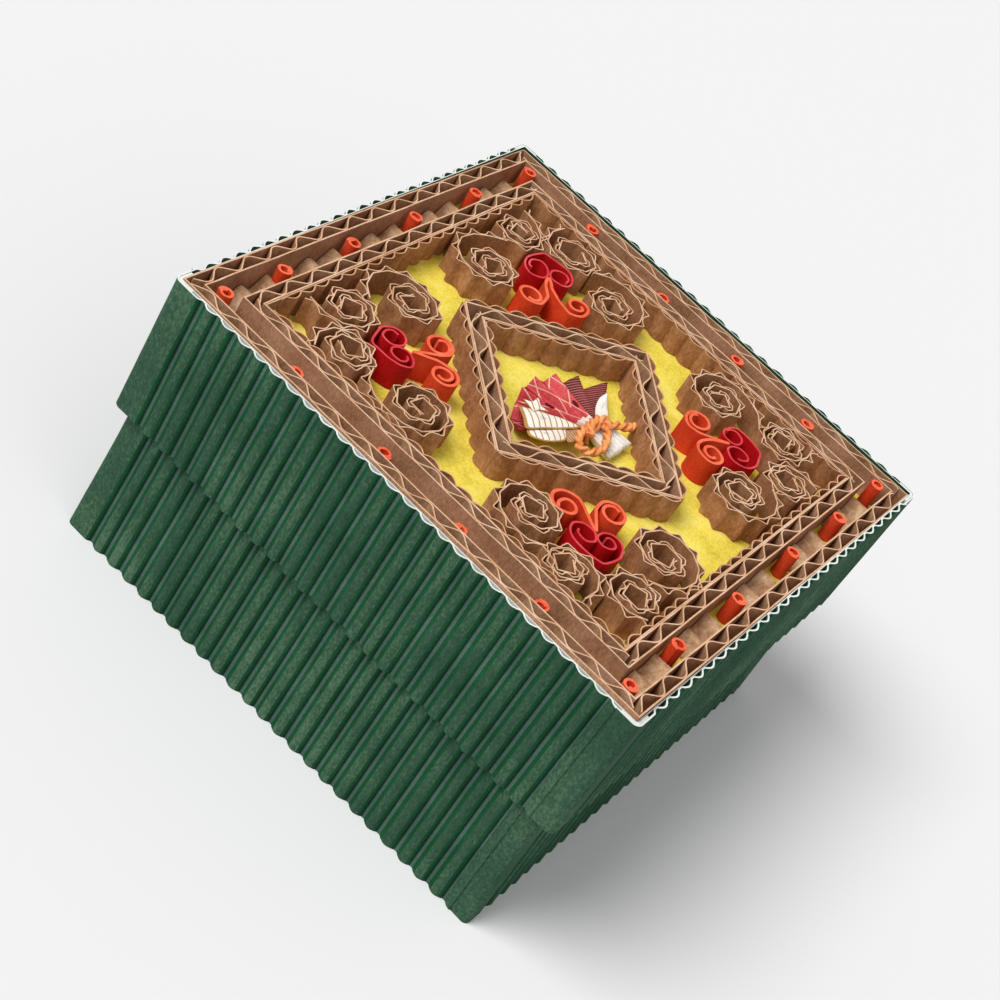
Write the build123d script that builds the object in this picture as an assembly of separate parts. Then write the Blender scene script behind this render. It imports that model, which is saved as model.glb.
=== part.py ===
from build123d import *
import os
from math import atan2, ceil, cos, floor, hypot, pi, radians, sin

os.makedirs("parts", exist_ok=True)

# A square gift box of corrugated paper with a lift-off lid.
# Millimetres, +Z up, the origin under the middle of the base, X along the side
# that carries the top row of tubes, Y towards that side.

# Overall heights and squares
total_height = 54.0
skirt_height = 27.4
frame_side = 93.0
base_step = 2.1
fit_gap = 0.05
green_board = 1.2
green_liner = 0.35
green_pitch = 3.47
lid_corner_band = 6.1
base_corner_band = 5.5
corner_round = 1.6

# Flat cards
panel_thickness = 1.0
floor_thickness = 1.0
recess_depth = 5.6

# Kraft double-faced board of the two square frames
board_thickness = 2.6
board_liner = 0.35
board_tip = 0.3
board_glue_line = 0.7
board_pitch = 6.5
board_end = 1.3
channel_width = 3.8
inner_rim_drop = 0.5

# Kraft single-face board of the linings and coils
lining_board = 1.2
lining_liner = 0.35
lining_pitch = 3.47

# Diamond frame, corners of its core in plan as shares of the frame's side: left,
# top, right, bottom
diamond_shares = ((-0.2591, -0.0172), (-0.0118, 0.2538), (0.2581, 0.0011), (-0.0032, -0.2602))
diamond_board = 2.9
diamond_pitch = 7.75
diamond_end = 0.9

# Fluted strips lying in two of the channels, places of their first crests as
# shares of the frame's side
filler_shares_back = (-0.3731, -0.1935, -0.0151, 0.1613, 0.3441)
filler_shares_front = (-0.3903, -0.2194, -0.0247, 0.1667, 0.3441)
filler_pitch = 6.4
filler_thickness = 2.3
filler_valley = 0.4
filler_left_end = 3.0
filler_right_end = 0.2
channel_gap = 0.1

# Orange paper tubes standing in the channels, their places as shares of the
# frame's side
tube_outer_radius = 1.35
tube_paper = 0.5
tube_turns = 1.15
tube_facets = 7
tube_drop = 1.1
tube_shares_back = (-0.4495, -0.2882, -0.0978, 0.0860, 0.2785, 0.4559)
tube_shares_front = (-0.4538, -0.2968, -0.0968, 0.1054, 0.2946, 0.4559)
tube_shares_left = (0.2742, 0.0763, -0.0935, -0.2677)
tube_shares_right = (0.2785, 0.0849, -0.0989, -0.2774)

# Coils of fluted strip: middle x, middle y, angle of the inner end in degrees,
# way of turning (1 anticlockwise), radii at each quarter turn from the inner
# end outwards, then the angle and radius of the loose tail. Coils and scrolls are
# wound to fill their corners, so their lengths are in hundredths of the frame's side.
coil_liner = 0.3
coil_flute = 0.915
coil_crease_pitch = 3.73
coil_plain_corners = 6
coil_path_step = 15
coils = (
    (-24.41, 33.44, 166, -1, (2.47, 2.26, 2.47, 2.8, 3.44, 4.09, 4.19, 4.62, 5.7), (27, 6.45)),
    (-32.8, 26.56, 100, 1, (2.04, 2.04, 2.8, 2.9, 3.23, 4.09, 4.3, 3.66), (60, 4.19)),
    (-11.4, 29.89, 20, 1, (1.18, 1.83, 3.12, 3.12, 3.23, 3.87, 4.62, 5.16, 5.16, 7.53), (35, 7.53)),
    (-31.18, 11.51, -125, -1, (1.72, 1.83, 2.37, 2.9, 3.33, 4.41, 4.84, 4.95, 5.7, 6.67), (20, 7.53)),
    (13.23, 29.68, 183, -1, (2.37, 2.04, 2.37, 2.58, 3.55, 4.09, 3.76, 4.52, 5.48, 7.63), (50, 7.85)),
    (27.53, 33.44, -39, 1, (1.29, 2.26, 2.47, 2.47, 2.9, 3.55, 3.87, 4.19, 4.09), (60, 6.02)),
    (34.41, 24.95, -16, -1, (1.72, 2.37, 2.58, 2.8, 3.12, 4.19, 4.19, 4.95), (20, 5.27)),
    (30.0, 11.51, -63, 1, (1.83, 2.58, 2.58, 2.69, 3.12, 4.09, 4.3, 4.62, 5.7, 7.74), (30, 7.85)),
    (31.4, -14.73, 106, -1, (2.15, 1.94, 2.15, 2.58, 3.12, 4.3, 3.98, 4.3, 5.91, 6.67), (60, 6.67)),
    (34.41, -27.31, -119, 1, (1.61, 2.37, 2.37, 2.58, 3.23, 3.44, 3.66, 3.87), (60, 4.3)),
    (25.81, -33.98, -3, -1, (1.94, 2.58, 2.47, 2.58, 2.9, 3.87, 4.09, 3.66), (60, 4.19)),
    (13.76, -30.86, 154, 1, (2.26, 2.58, 2.58, 2.58, 3.01, 3.55, 4.09, 4.62, 5.27, 6.45, 6.88), None),
    (-30.0, -13.23, 98, 1, (2.37, 2.58, 2.47, 2.15, 2.8, 4.19, 4.84, 4.09, 5.7, 7.31), (20, 7.42)),
    (-34.62, -24.41, 4, -1, (1.61, 1.72, 1.94, 2.15, 2.37, 2.8, 3.17, 3.44), (60, 3.66)),
    (-28.28, -34.09, -101, 1, (2.37, 2.37, 2.15, 2.26, 3.01, 3.87, 3.87, 3.87), (40, 3.98)),
    (-15.38, -31.83, -51, -1, (2.15, 2.9, 2.69, 2.69, 3.33, 4.09, 4.3, 5.48, 6.02, 6.34), (25, 6.45)),
)

# Crimson scrolls: a spiral from its inner end outwards, the corner points of the
# heart, then a second spiral from its inner end outwards.
red_paper = 0.41
red_scrolls = (
    ((-22.8, 24.95, 3, 1, (1.29, 1.72, 1.94, 1.94, 2.37, 2.58), None),
     ((-27.53, 25.7), (-27.74, 23.98)),
     (-24.84, 21.4, -36, -1, (0.97, 1.4, 1.61, 1.56, 1.94, 2.8), (54, 2.9))),
    ((22.26, 25.27, 150, -1, (1.29, 2.04, 2.37, 2.47, 2.58, 3.12), None),
     ((27.31, 27.31), (28.06, 24.73)),
     (24.95, 21.4, -75, 1, (1.29, 2.04, 2.04, 2.15, 2.26), (85, 3.55))),
    ((25.27, -21.72, 80, -1, (1.08, 1.51, 1.83, 1.83, 1.88, 2.9), None),
     ((27.74, -25.81), (27.1, -27.42)),
     (22.58, -25.16, 197, 1, (1.4, 1.72, 1.72, 2.15, 2.69), (73, 3.44))),
    ((-25.27, -21.29, 118, 1, (1.18, 1.83, 2.04, 1.83, 2.58, 3.87), None),
     ((-28.6, -25.59), (-28.06, -27.31)),
     (-23.23, -24.95, 56, -1, (0.97, 1.29, 1.4, 1.51, 2.04, 2.58), (56, 3.23))),
)

# Orange scrolls: the fold, then for each leg the points on the way to its
# spiral and the spiral from its inner end outwards.
orange_paper = 0.59
orange_scrolls = (
    ((-22.04, 20.97),
     (((-18.71, 18.82), (-16.99, 17.85)), (-15.7, 19.78, 56, -1, (1.02, 1.34, 1.61, 1.99, 2.2, 2.37), (56, 2.47))),
     (((-20.32, 19.14), (-19.03, 17.2)), (-20.86, 14.62, 141, 1, (1.29, 1.18, 1.29, 1.72, 2.15, 2.37, 2.37), (39, 2.47)))),
    ((22.37, 22.47),
     (((19.89, 21.29), (17.85, 19.68)), (14.62, 20.97, -170, 1, (1.18, 1.51, 1.61, 2.04, 2.15), (80, 2.53))),
     (((20.54, 20.54), (19.14, 18.17)), (21.61, 14.62, -8, -1, (0.97, 1.02, 1.29, 1.94, 2.31, 2.04), (82, 3.23)))),
    ((22.69, -22.37),
     (((20.86, -20.22), (19.14, -18.28)), (21.4, -16.02, 45, 1, (1.34, 1.51, 1.83, 2.04, 2.26, 2.58), (45, 3.01))),
     (((20.86, -20.86), (18.92, -19.57)), (16.56, -22.15, -90, -1, (0.97, 1.18, 1.51, 2.04, 2.37, 2.37, 2.9), None))),
    ((-22.69, -22.15),
     (((-22.15, -20.65), (-20.75, -18.49)), (-23.01, -16.13, 153, -1, (1.18, 1.18, 1.4, 1.61, 2.04, 3.23), (63, 3.44))),
     (((-21.29, -20.86), (-18.92, -19.25)), (-16.67, -21.29, -15, 1, (1.29, 1.51, 1.83, 2.04, 2.26, 2.53), (15, 2.58)))),
)
spiral_step = 45

# Folded paper fan, fold lines from the tie outwards as (x, y, height)
fan_paper = 0.22
fan_tips = (
    (-12.6, 1.0, 1.7), (-10.2, 4.0, 0.3), (-8.3, 5.2, 2.0), (-5.0, 6.2, 0.3), (-3.6, 6.7, 2.0),
    (-0.5, 7.0, 0.3), (1.3, 7.1, 2.0), (3.2, 6.0, 0.3), (5.8, 6.0, 2.0), (7.0, 4.0, 0.3),
    (9.8, 3.6, 2.0), (10.3, 1.2, 0.3), (13.2, 0.3, 1.8),
)
fan_waist_middle = (1.9, -5.6)
fan_waist_width = 3.4
fan_waist_heights = (1.0, 1.8)
fan_foot_middle = (2.2, -10.6)
fan_foot_width = 6.6
fan_foot_heights = (0.3, 1.5)

# Twisted cord tied round the fan in a bow
cord_radius = 0.7
cord_sides = 6
bow_gap = 0.05
bow_wrap_half = 2.6
bow_loop = ((2.6, -5.9), (0.2, -4.7), (-3.6, -4.6), (-5.9, -6.4), (-3.4, -8.2), (0.2, -7.9), (2.6, -5.9))
bow_tail = ((2.6, -5.9), (6.0, -6.5), (9.2, -8.4))

# Levels and places worked out from the sizes above
hundredth = frame_side / 100
base_side = frame_side - base_step
diamond_corners = [(x * frame_side, y * frame_side) for x, y in diamond_shares]
panel_top = total_height - recess_depth
panel_bottom = panel_top - panel_thickness
inner_rim = total_height - inner_rim_drop
lid_inner_half = frame_side / 2 + fit_gap
frame_inner_half = frame_side / 2 - board_thickness
inner_frame_half = frame_inner_half - channel_width
inner_frame_inner_half = inner_frame_half - board_thickness
channel_middle = (frame_inner_half + inner_frame_half) / 2


def prism(outline, bottom, top, holes=()):
    """A straight solid on a plan outline, with plan holes."""
    face = Face(Wire.make_polygon([(x, y, bottom) for x, y in outline]),
                [Wire.make_polygon([(x, y, bottom) for x, y in hole]) for hole in holes])
    return extrude(face, amount=top - bottom, dir=(0, 0, 1))


def square(half):
    """The four corners of a square: left front, left back, right back, right front."""
    return [(-half, -half), (-half, half), (half, half), (half, -half)]


def side_points(start, end, places):
    """Points given as (distance along a side, depth inwards), in plan."""
    length = hypot(end[0] - start[0], end[1] - start[1])
    ux, uy = (end[0] - start[0]) / length, (end[1] - start[1]) / length
    return [(start[0] + ux * along + uy * depth, start[1] + uy * along - ux * depth)
            for along, depth in places]


def inset(corners, depth):
    """A clockwise polygon moved inwards by a depth, mitred at its corners."""
    result = []
    for i, corner in enumerate(corners):
        before, after = corners[i - 1], corners[(i + 1) % len(corners)]
        a = atan2(corner[1] - before[1], corner[0] - before[0])
        b = atan2(after[1] - corner[1], after[0] - corner[0])
        bend = (b - a + pi) % (2 * pi) - pi
        reach = depth / cos(bend / 2)
        middle = (a + b) / 2 if abs(b - a) <= pi else (a + b) / 2 + pi
        result.append((corner[0] + sin(middle) * reach, corner[1] - cos(middle) * reach))
    return result


def sides(corners):
    """Each side of a polygon as its two ends."""
    return [(corner, corners[(i + 1) % len(corners)]) for i, corner in enumerate(corners)]


def cell_row(start, end, closed_end, pitch, thickness, outer_cells):
    """The open cells of one side of double-faced board, as plan triangles."""
    length = hypot(end[0] - start[0], end[1] - start[1])
    count = floor((length - 2 * closed_end) / pitch)
    first = (length - (count - 1) * pitch) / 2
    half_glue = board_glue_line / 2
    near, far = board_liner, thickness - board_liner
    low, high = thickness + board_tip, length - thickness - board_tip
    cells = []
    for k in range(count):
        middle = first + k * pitch
        left, right = middle - pitch / 2 + half_glue, middle + pitch / 2 - half_glue
        cells.append(((max(left, low), far), (min(right, high), far), (middle, near + board_tip)))
    if outer_cells:
        for k in range(count - 1):
            left, right = first + k * pitch + half_glue, first + (k + 1) * pitch - half_glue
            cells.append(((left, near), ((left + right) / 2, far - board_tip), (right, near)))
    return [side_points(start, end, cell) for cell in cells]


def board_frame(corners, thickness, closed_end, pitch, top, outer_cells=False):
    """A strip of double-faced board on edge, folded into a closed frame."""
    holes = [inset(corners, thickness)]
    for start, end in sides(corners):
        holes += cell_row(start, end, closed_end, pitch, thickness, outer_cells)
    return prism(corners, panel_top, top, holes)


def ridge_line(start, end, plain_end, pitch, liner, crest):
    """Outline points of the ridges that fit between the plain ends of one side."""
    length = hypot(end[0] - start[0], end[1] - start[1])
    count = floor((length - 2 * plain_end) / pitch)
    first = length / 2 - (count / 2) * pitch
    places = [(first, liner)]
    for k in range(count):
        places.append((first + (k + 0.5) * pitch, crest))
        places.append((first + (k + 1) * pitch, liner))
    return side_points(start, end, places)


def fluted_inside(corners, bottom, top):
    """Single-face board lining the inside of a frame, its flutes inwards."""
    inner = []
    for start, end in sides(corners):
        inner += ridge_line(start, end, lining_board, lining_pitch, lining_liner, lining_board)
    return prism(corners, bottom, top, [inner])


def fluted_outside(corners, bottom, top):
    """Single-face board round the outside of a frame, its flutes outwards."""
    outer = []
    for (start, end), corner in zip(sides(corners), inset(corners, -lining_board)):
        outer.append(corner)
        outer += ridge_line(start, end, 0, lining_pitch, -lining_liner, -lining_board)
    return prism(outer, bottom, top, [corners])


def green_wall(outer_half, corner_band, bottom, top):
    """A wall of green single-face board, flutes upright, with smooth corner bands."""
    inner = square(outer_half - green_board)
    outer = []
    length = 2 * outer_half
    count = round((length - 2 * corner_band) / green_pitch)
    pitch = (length - 2 * corner_band) / count
    shoulder = corner_band - pitch / 2
    for start, end in sides(square(outer_half)):
        outer += side_points(start, end, [(corner_round, 0), (shoulder, 0)])
        outer += ridge_line(start, end, corner_band - fit_gap, pitch, green_board - green_liner, 0)
        outer += side_points(start, end, [(length - shoulder, 0), (length - corner_round, 0)])
    return prism(outer, bottom, top, [inner])


def quarter_radius(radii, tail, turned):
    """The radius of a spiral after some degrees of turning."""
    steps = [(90 * k, radius) for k, radius in enumerate(radii)]
    if tail:
        steps.append((steps[-1][0] + tail[0], tail[1]))
    for (a, ra), (b, rb) in zip(steps, steps[1:]):
        if turned <= b:
            return ra + (rb - ra) * (turned - a) / (b - a)
    return steps[-1][1]


def spiral(turn, step):
    """Points of a spiral from its inner end outwards, a step of degrees apart."""
    x, y, start, way, radii, tail = turn
    total = 90 * (len(radii) - 1) + (tail[0] if tail else 0)
    count = ceil(total / step)
    points = []
    for k in range(count + 1):
        turned = total * k / count
        radius = quarter_radius(radii, tail, turned) * hundredth
        angle = radians(start + way * turned)
        points.append((x * hundredth + radius * cos(angle), y * hundredth + radius * sin(angle)))
    return points


def placed(points):
    """Plan points given in hundredths of the frame's side."""
    return [(x * hundredth, y * hundredth) for x, y in points]


def normals(path):
    """Unit vectors to the left of an open path at each point, longer at bends."""
    result = []
    for i in range(len(path)):
        before, after = path[max(i - 1, 0)], path[min(i + 1, len(path) - 1)]
        here = path[i]
        a = atan2(here[1] - before[1], here[0] - before[0]) if i else None
        b = atan2(after[1] - here[1], after[0] - here[0]) if i < len(path) - 1 else None
        a = b if a is None else a
        b = a if b is None else b
        bend = (b - a + pi) % (2 * pi) - pi
        middle = a + bend / 2
        result.append((-sin(middle) / cos(bend / 2), cos(middle) / cos(bend / 2)))
    return result


def shifted(path, distance):
    """An open path moved to its left by a distance."""
    return [(x + nx * distance, y + ny * distance) for (x, y), (nx, ny) in zip(path, normals(path))]


def strip(path, thickness, bottom, top):
    """A strip of plain paper on edge along a plan path."""
    outline = shifted(path, thickness / 2) + shifted(path, -thickness / 2)[::-1]
    return prism(outline, bottom, top)


def path_length(path):
    """The length of a path."""
    return sum(hypot(b[0] - a[0], b[1] - a[1]) for a, b in zip(path, path[1:]))


def evenly(path, count):
    """A path cut again into a count of stretches of one length."""
    spacing = path_length(path) / count
    result, travelled = [path[0]], 0
    for a, b in zip(path, path[1:]):
        length = hypot(b[0] - a[0], b[1] - a[1])
        while len(result) < count and travelled + length >= spacing * len(result):
            share = (spacing * len(result) - travelled) / length
            result.append((a[0] + (b[0] - a[0]) * share, a[1] + (b[1] - a[1]) * share))
        travelled += length
    return result + [path[-1]]


def coil(turn):
    """A coil of fluted strip: a plain inner turn, then a turn creased between flutes."""
    path = spiral(turn, coil_path_step)
    plain_steps = 360 // coil_path_step
    plain, fluted = path[:plain_steps + 1], path[plain_steps:]
    creases = evenly(fluted, round(path_length(fluted) / (coil_crease_pitch * hundredth)))
    line = evenly(plain, coil_plain_corners)[:-1] + creases
    rise = shifted(line, -turn[3])
    outer = []
    for i, ((x, y), (rx, ry)) in enumerate(zip(line, rise)):
        height = (coil_liner if i < coil_plain_corners else coil_flute) * hundredth
        outer.append((x + (rx - x) * height, y + (ry - y) * height))
        if coil_plain_corners <= i < len(line) - 1:
            ax, ay = line[i + 1]
            side = -turn[3] * coil_liner * hundredth / hypot(ax - x, ay - y)
            outer.append(((x + ax) / 2 - (ay - y) * side, (y + ay) / 2 + (ax - x) * side))
    return prism(line + outer[::-1], panel_top, inner_rim)


def filler(first_crest, middle, bottom):
    """A fluted strip lying on the panel across a channel, two crests up."""
    half = (channel_width - 2 * channel_gap) / 2
    left = first_crest - filler_left_end
    right = first_crest + filler_pitch + filler_right_end
    crest, valley = filler_thickness, filler_valley
    profile = [
        (left, 0), (right, 0), (right, crest - (right - first_crest - filler_pitch) * 0.5),
        (first_crest + filler_pitch, crest), (first_crest + filler_pitch / 2, valley),
        (first_crest, crest), (left, valley),
    ]
    face = Face(Wire.make_polygon([(x, middle - half, bottom + z) for x, z in profile]))
    return extrude(face, amount=2 * half, dir=(0, 1, 0))


def lid_panel():
    """The yellow card of the lid with the fluted strips glued on it."""
    side = 2 * lid_inner_half
    panel = Pos(0, 0, panel_bottom) * Box(side, side, panel_thickness, align=(Align.CENTER, Align.CENTER, Align.MIN))
    strips = [filler(share * frame_side, channel_middle, panel_top) for share in filler_shares_back]
    strips += [filler(share * frame_side, -channel_middle, panel_top) for share in filler_shares_front]
    return panel.fuse(*strips)


def tube(x, y, drop):
    """A short tube of rolled orange paper standing on the panel."""
    step = 360 / tube_facets
    middle = tube_outer_radius - tube_paper / 2
    quarters = ceil(tube_turns * 4)
    inner = middle - tube_paper * tube_turns
    radii = [inner + (middle - inner) * min(1, k / (quarters - 1)) for k in range(quarters + 1)]
    path = [(x + px / hundredth, y + py / hundredth) for px, py in spiral((0, 0, 0, 1, radii, None), step)]
    return strip(path, tube_paper * 0.8, panel_top, total_height - drop)


def red_scroll(scroll):
    """One crimson strip rolled into two spirals of a heart."""
    first, corners, second = scroll
    path = spiral(first, spiral_step) + placed(corners) + spiral(second, spiral_step)[::-1]
    return strip(path, red_paper * hundredth, panel_top, inner_rim)


def orange_scroll(scroll):
    """One orange strip folded in two, each leg rolled into a spiral."""
    fold, *legs = scroll
    solids = []
    for way, turn in legs:
        path = placed([fold, *way]) + spiral(turn, spiral_step)[::-1]
        solids.append(strip(path, orange_paper * hundredth, panel_top, inner_rim))
    return solids[0].fuse(solids[1])


def fold_row(middle, width, heights):
    """Fold lines across the narrow part of the fan, high and low in turn."""
    count = len(fan_tips)
    high, low = max(heights), min(heights)
    row = []
    for k in range(count):
        offset = width * (k / (count - 1) - 0.5)
        row.append((middle[0] + offset, middle[1], high if k % 2 == 0 else low))
    return row


def fan():
    """A sheet folded in pleats and gathered at a waist, with its foot."""
    rows = [fan_tips, fold_row(fan_waist_middle, fan_waist_width, fan_waist_heights),
            fold_row(fan_foot_middle, fan_foot_width, fan_foot_heights)]
    lower = [[Vector(x, y, panel_top + z) for x, y, z in row] for row in rows]
    upper = [[point + Vector(0, 0, fan_paper) for point in row] for row in lower]
    faces = []

    def patch(a, b, c, d):
        faces.append(Face(Wire.make_polygon([a, b, c])))
        faces.append(Face(Wire.make_polygon([a, c, d])))

    last = len(fan_tips) - 1
    for r in range(2):
        for k in range(last):
            patch(lower[r][k], lower[r][k + 1], lower[r + 1][k + 1], lower[r + 1][k])
            patch(upper[r][k], upper[r + 1][k], upper[r + 1][k + 1], upper[r][k + 1])
        for k in (0, last):
            patch(lower[r][k], lower[r + 1][k], upper[r + 1][k], upper[r][k])
    for r in (0, 2):
        for k in range(last):
            patch(lower[r][k], upper[r][k], upper[r][k + 1], lower[r][k + 1])
    return Solid(Shell(faces))


def cord(path):
    """A length of cord with a many-sided section, mitred at its bends."""
    line = Polyline(*path)
    section = Plane(origin=line @ 0, z_dir=line % 0) * RegularPolygon(cord_radius, cord_sides)
    return sweep(section, path=line, transition=Transition.RIGHT)


def bow():
    """The cord over the waist of the fan, with its loop and its tail."""
    top = panel_top + max(fan_waist_heights) + fan_paper + bow_gap + cord_radius
    x, y = fan_waist_middle
    y = bow_loop[0][1]
    foot = panel_top + cord_radius
    wrap = cord([(x - bow_wrap_half, y, foot), (x - bow_wrap_half, y, top), (x + bow_wrap_half, y, top),
                 (x + bow_wrap_half, y, foot)])
    loop = cord([(px, py, top) for px, py in bow_loop])
    tail = cord([(px, py, top) for px, py in bow_tail])
    return wrap.fuse(loop, tail)


def save(solid, name):
    """Writes one sub-part."""
    export_step(solid, f"parts/{name}.step")


lid_outer_half = lid_inner_half + green_board
base_top = panel_bottom
save(green_wall(base_side / 2, base_corner_band, 0, base_top), "base_wall")
floor_side = base_side - 2 * green_board
save(Box(floor_side, floor_side, floor_thickness, align=(Align.CENTER, Align.CENTER, Align.MIN)), "base_floor")
save(green_wall(lid_outer_half, lid_corner_band, total_height - skirt_height, total_height), "lid_wall")
save(lid_panel(), "lid_panel")
outer_square = square(frame_side / 2)
save(board_frame(outer_square, board_thickness, board_end, board_pitch, total_height), "outer_frame")
inner_square = square(inner_frame_half)
save(board_frame(inner_square, board_thickness, board_end, board_pitch, inner_rim), "inner_frame")
save(fluted_inside(square(inner_frame_inner_half), panel_top, inner_rim), "inner_frame_lining")
save(board_frame(diamond_corners, diamond_board, diamond_end, diamond_pitch, inner_rim, True), "diamond_core")
save(fluted_outside(diamond_corners, panel_top, inner_rim), "diamond_outer_lining")
save(fluted_inside(inset(diamond_corners, diamond_board), panel_top, inner_rim), "diamond_inner_lining")

tube_places = [(share * frame_side, channel_middle) for share in tube_shares_back]
tube_places += [(share * frame_side, -channel_middle) for share in tube_shares_front]
tube_places += [(-channel_middle, share * frame_side) for share in tube_shares_left]
tube_places += [(channel_middle, share * frame_side) for share in tube_shares_right]
for number, (x, y) in enumerate(tube_places, 1):
    save(tube(x, y, tube_drop), f"orange_tube_{number:02d}")
for number, turn in enumerate(coils, 1):
    save(coil(turn), f"kraft_coil_{number:02d}")
for number, scroll in enumerate(red_scrolls, 1):
    save(red_scroll(scroll), f"crimson_scroll_{number}")
for number, scroll in enumerate(orange_scrolls, 1):
    save(orange_scroll(scroll), f"orange_scroll_{number}")
save(fan(), "paper_fan")
save(bow(), "cord_bow")
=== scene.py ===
import bpy, bmesh, random
from math import atan2, cos, hypot, pi, radians, sin
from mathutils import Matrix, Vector, noise


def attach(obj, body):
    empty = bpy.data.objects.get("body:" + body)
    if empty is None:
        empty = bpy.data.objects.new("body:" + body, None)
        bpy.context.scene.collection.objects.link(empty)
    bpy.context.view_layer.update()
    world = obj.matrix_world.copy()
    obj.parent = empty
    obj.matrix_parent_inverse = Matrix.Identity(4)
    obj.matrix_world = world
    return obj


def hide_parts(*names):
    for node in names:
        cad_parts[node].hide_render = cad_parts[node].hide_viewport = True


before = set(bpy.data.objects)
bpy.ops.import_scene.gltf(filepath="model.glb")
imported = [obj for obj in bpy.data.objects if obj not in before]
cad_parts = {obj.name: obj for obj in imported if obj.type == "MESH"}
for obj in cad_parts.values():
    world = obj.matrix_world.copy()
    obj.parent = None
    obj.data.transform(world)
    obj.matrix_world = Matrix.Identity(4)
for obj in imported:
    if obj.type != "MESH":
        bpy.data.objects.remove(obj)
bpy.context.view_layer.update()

# Camera: looks down at the tipped box from the left, as in the photograph.
camera_data = bpy.data.cameras.new("camera")
camera_data.lens = 76.167
camera_data.sensor_width = 36.0
camera = bpy.data.objects.new("camera", camera_data)
camera.location = (-0.27024, -0.07458, 0.24202)
camera.rotation_euler = (radians(47.3333), radians(-26.4215), radians(-52.1959))
bpy.context.scene.collection.objects.link(camera)
bpy.context.scene.camera = camera


# Green walls: single-face board with its flutes upright, broad round crests and
# narrow flat valleys, pressed smooth round the corners. The valleys show the
# greyer sheet behind the flutes. The flutes' steep slopes and flanks are darker
# greens, which is painted shade.
#
# Papers come first: a fibre grain and slow mottling on Object coordinates drive
# colour and bump, with every uniform value on the shader's own sockets.
def linear(hex_colour):
    """An sRGB hex colour as linear RGBA."""
    channels = [int(hex_colour[i:i + 2], 16) / 255 for i in (0, 2, 4)]
    return [c / 12.92 if c <= 0.04045 else ((c + 0.055) / 1.055) ** 2.4 for c in channels] + [1.0]


def add(tree, kind, settings=None, **inputs):
    """Adds a node, sets its properties, and sets or links its inputs."""
    node = tree.nodes.new(kind)
    for name, value in (settings or {}).items():
        setattr(node, name, value)
    for name, value in inputs.items():
        socket = node.inputs[name.replace("_", " ")]
        if isinstance(value, bpy.types.NodeSocket):
            tree.links.new(value, socket)
        else:
            socket.default_value = value
    return node


def ramp(tree, factor, colours):
    """A colour ramp through evenly spaced hex colours."""
    node = add(tree, "ShaderNodeValToRGB", Fac=factor)
    while len(node.color_ramp.elements) < len(colours):
        node.color_ramp.elements.new(0.5)
    for k, colour in enumerate(colours):
        node.color_ramp.elements[k].position = 0.3 + 0.4 * k / (len(colours) - 1)
        node.color_ramp.elements[k].color = linear(colour)
    return node.outputs["Color"]


def paper(name, colours, grain=0.00035, mottle=0.009, stretch=(1.0, 1.0, 1.0), depth=0.00006,
          roughness=0.88, pattern=None):
    """A matte paper: three shades mixed by grain and mottling, a fine bump."""
    material = bpy.data.materials.new(name)
    material.use_nodes = True
    tree = material.node_tree
    tree.nodes.clear()
    place = add(tree, "ShaderNodeTexCoord").outputs["Object"]
    drawn = add(tree, "ShaderNodeVectorMath", {"operation": "MULTIPLY"})
    tree.links.new(place, drawn.inputs[0])
    drawn.inputs[1].default_value = stretch
    fine = add(tree, "ShaderNodeTexNoise", Vector=drawn.outputs[0], Scale=1 / grain, Detail=5.0,
               Roughness=0.7)
    slow = add(tree, "ShaderNodeTexNoise", Vector=place, Scale=1 / mottle, Detail=3.0)
    both = add(tree, "ShaderNodeMix", {"data_type": "FLOAT"})
    both.inputs[0].default_value = 0.45
    tree.links.new(fine.outputs["Fac"], both.inputs[2])
    tree.links.new(slow.outputs["Fac"], both.inputs[3])
    colour = ramp(tree, both.outputs[0], colours)
    if pattern:
        colour = pattern(tree, colour)
    bump = add(tree, "ShaderNodeBump", Strength=0.8, Distance=depth, Height=fine.outputs["Fac"])
    shader = add(tree, "ShaderNodeBsdfPrincipled", Base_Color=colour, Normal=bump.outputs[0],
                 Roughness=roughness, IOR=1.4)
    shader.inputs["Specular IOR Level"].default_value = 0.25
    add(tree, "ShaderNodeOutputMaterial", Surface=shader.outputs[0])
    return material


# Then sheets: a sheet stands on edge along a plan path in millimetres, and a
# piece gathers the sheets that make one sub-part into one object.
def unit(a, b):
    """The direction from one plan point to another."""
    length = max(hypot(b[0] - a[0], b[1] - a[1]), 1e-9)
    return (b[0] - a[0]) / length, (b[1] - a[1]) / length


def halfway(a, b):
    """The turn from one plan direction to the next, and the angle halfway."""
    bend = (atan2(b[1], b[0]) - atan2(a[1], a[0]) + pi) % (2 * pi) - pi
    return bend, atan2(a[1], a[0]) + bend / 2


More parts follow.
